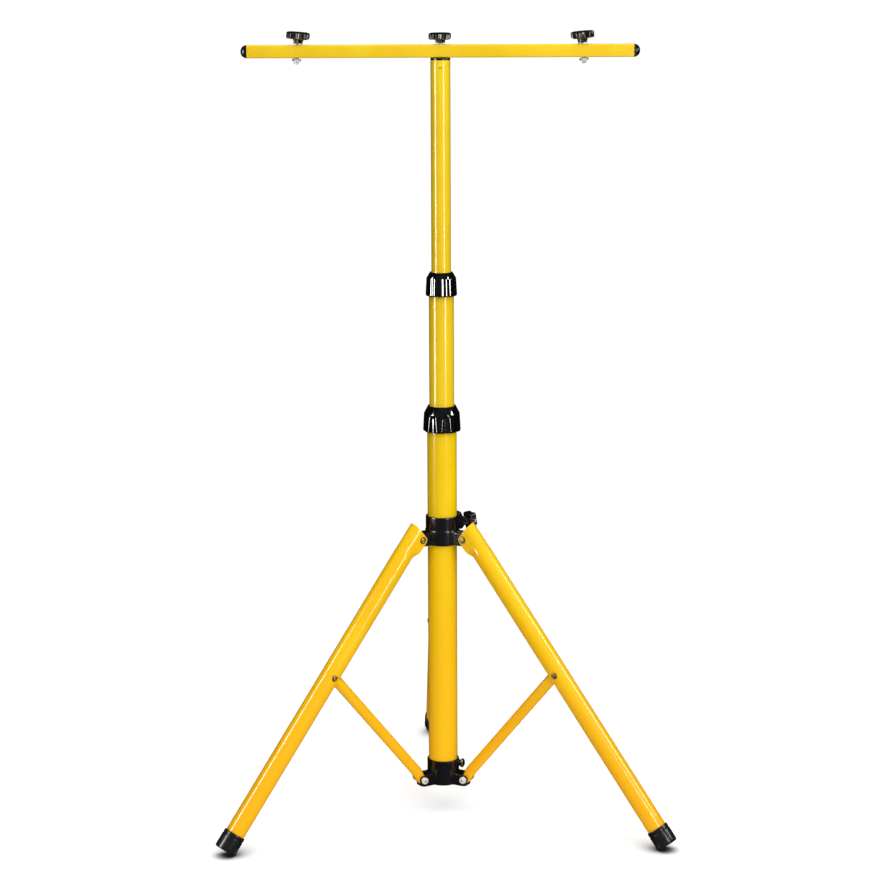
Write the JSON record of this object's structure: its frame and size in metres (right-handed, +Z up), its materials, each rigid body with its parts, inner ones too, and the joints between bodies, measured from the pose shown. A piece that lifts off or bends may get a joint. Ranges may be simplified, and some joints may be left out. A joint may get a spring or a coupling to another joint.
{
  "type": "floodlight tripod",
  "caption": "Telescopic lamp stand: a yellow tubular mast on folding braced legs with rubber feet, and a square crossbar with star knobs for work lights.",
  "frame": {"origin": "on the floor under the middle of the object's box, with the legs spread as in the picture", "axes": "+Z up along the mast, +X along the crossbar to the right as seen in the picture, +Y away from the viewer, towards the rear leg"},
  "size_m": [0.5818, 0.5143, 1.0188],
  "materials": {
    "yellow_paint": "glossy yellow powder coat",
    "black_plastic": "satin black moulding",
    "glossy_black_plastic": "glossy black moulding",
    "black_rubber": "matt black rubber",
    "zinc_plated_steel": "bright zinc plating",
    "dark_rivet_steel": "darkened steel",
    "pale_nylon": "natural nylon"
  },
  "bodies": {
    "mast_base": {"mast_lower_tube": "yellow_paint", "lower_collet": "pale_nylon", "lower_hub": "black_plastic", "hub_screw": "glossy_black_plastic", "hub_bolt_1": "zinc_plated_steel", "hub_bolt_2": "zinc_plated_steel", "hub_bolt_3": "zinc_plated_steel", "hub_nut_1": "zinc_plated_steel", "hub_nut_2": "zinc_plated_steel", "hub_nut_3": "zinc_plated_steel"},
    "lower_lock": {"lower_lock_collar": "glossy_black_plastic"},
    "middle_section": {"mast_middle_tube": "yellow_paint", "middle_tube_bush": "pale_nylon", "upper_collet": "pale_nylon"},
    "upper_lock": {"upper_lock_collar": "glossy_black_plastic"},
    "upper_section": {"mast_upper_tube": "yellow_paint", "upper_tube_bush": "pale_nylon", "mast_top_plug": "black_plastic", "plug_insert": "zinc_plated_steel", "plug_rivet": "yellow_paint"},
    "crossbar": {"crossbar": "yellow_paint", "crossbar_cap_left": "glossy_black_plastic", "crossbar_cap_right": "glossy_black_plastic", "nut_left": "zinc_plated_steel", "nut_right": "zinc_plated_steel"},
    "knob_left": {"knob_left": "black_plastic", "stud_left": "zinc_plated_steel", "washer_left": "zinc_plated_steel"},
    "knob_centre": {"knob_centre": "black_plastic", "stud_centre": "zinc_plated_steel", "washer_centre": "zinc_plated_steel"},
    "knob_right": {"knob_right": "black_plastic", "stud_right": "zinc_plated_steel", "washer_right": "zinc_plated_steel"},
    "leg_collar": {"leg_collar": "black_plastic", "collar_insert": "zinc_plated_steel"},
    "collar_knob": {"collar_knob": "black_plastic", "collar_stud": "zinc_plated_steel"},
    "leg_1": {"leg_1": "yellow_paint", "foot_1": "black_rubber", "leg_pin_1": "dark_rivet_steel", "mid_rivet_1": "dark_rivet_steel"},
    "brace_1": {"brace_1": "yellow_paint"},
    "leg_2": {"leg_2": "yellow_paint", "foot_2": "black_rubber", "leg_pin_2": "dark_rivet_steel", "mid_rivet_2": "dark_rivet_steel"},
    "brace_2": {"brace_2": "yellow_paint"},
    "leg_3": {"leg_3": "yellow_paint", "foot_3": "black_rubber", "leg_pin_3": "dark_rivet_steel", "mid_rivet_3": "dark_rivet_steel"},
    "brace_3": {"brace_3": "yellow_paint"}
  },
  "joints": [
    {"name": "lower_lock_turn", "type": "hinge", "parent": "mast_base", "child": "lower_lock", "pos_m": [-0.00374, -0.07616, 0.5285], "axis": [0, 0, 1], "range_deg": [0, 120]},
    {"name": "middle_slide", "type": "slide", "parent": "mast_base", "child": "middle_section", "axis": [0, 0, 1], "range_m": [-0.139, 0.277]},
    {"name": "upper_lock_turn", "type": "hinge", "parent": "middle_section", "child": "upper_lock", "pos_m": [-0.00374, -0.07616, 0.702], "axis": [0, 0, 1], "range_deg": [0, 120]},
    {"name": "upper_slide", "type": "slide", "parent": "middle_section", "child": "upper_section", "axis": [0, 0, 1], "range_m": [-0.254, 0.18]},
    {"name": "crossbar_swivel", "type": "hinge", "parent": "upper_section", "child": "crossbar", "pos_m": [-0.00374, -0.07616, 0.9933], "axis": [0, 0, 1], "continuous": true},
    {"name": "knob_left_turn", "type": "hinge", "parent": "crossbar", "child": "knob_left", "pos_m": [-0.18174, -0.07616, 0.9933], "axis": [0.0872, 0, 0.9962], "continuous": true},
    {"name": "knob_centre_turn", "type": "hinge", "parent": "upper_section", "child": "knob_centre", "pos_m": [-0.00374, -0.07616, 0.9933], "axis": [0, 0, 1], "continuous": true},
    {"name": "knob_right_turn", "type": "hinge", "parent": "crossbar", "child": "knob_right", "pos_m": [0.17426, -0.07616, 0.9933], "axis": [-0.0872, 0, 0.9962], "continuous": true},
    {"name": "legs_fold", "type": "hinge", "parent": "mast_base", "child": "brace_1", "pos_m": [-0.00514, -0.04049, 0.04796], "axis": [0.9992, 0.0393, 0], "range_deg": [-8, 26.5]},
    {"name": "rivet_1_fold", "type": "hinge", "parent": "brace_1", "child": "leg_1", "pos_m": [-0.01036, 0.09237, 0.21051], "axis": [0.9992, 0.0393, 0], "range_deg": [-53.5, 16.5]},
    {"name": "collar_fold", "type": "hinge", "parent": "leg_1", "child": "leg_collar", "pos_m": [-0.00514, -0.04049, 0.37305], "axis": [0.9992, 0.0393, 0], "range_deg": [-8.5, 27]},
    {"name": "collar_knob_turn", "type": "hinge", "parent": "leg_collar", "child": "collar_knob", "pos_m": [0.02187, -0.06053, 0.3885], "axis": [0.8536, 0.521, 0], "continuous": true},
    {"name": "leg_2_fold", "type": "hinge", "parent": "leg_collar", "child": "leg_2", "pos_m": [-0.03422, -0.09473, 0.37305], "axis": [-0.5203, 0.854, 0], "range_deg": [-27, 8.5]},
    {"name": "brace_2_fold", "type": "hinge", "parent": "mast_base", "child": "brace_2", "pos_m": [-0.03422, -0.09473, 0.04796], "axis": [-0.5203, 0.854, 0], "range_deg": [-8.5, 27]},
    {"name": "leg_3_fold", "type": "hinge", "parent": "leg_collar", "child": "leg_3", "pos_m": [0.02759, -0.09328, 0.37305], "axis": [-0.4795, -0.8776, 0], "range_deg": [-27, 8.5]},
    {"name": "brace_3_fold", "type": "hinge", "parent": "mast_base", "child": "brace_3", "pos_m": [0.02759, -0.09328, 0.04796], "axis": [-0.4795, -0.8776, 0], "range_deg": [-8.5, 27]}
  ],
  "couplings": [
    {"joint": "rivet_1_fold", "follows": "legs_fold", "ratio": -2},
    {"joint": "collar_fold", "follows": "legs_fold", "ratio": 1},
    {"joint": "leg_2_fold", "follows": "legs_fold", "ratio": -1},
    {"joint": "leg_3_fold", "follows": "legs_fold", "ratio": -1},
    {"joint": "brace_2_fold", "follows": "legs_fold", "ratio": 1},
    {"joint": "brace_3_fold", "follows": "legs_fold", "ratio": 1}
  ]
}
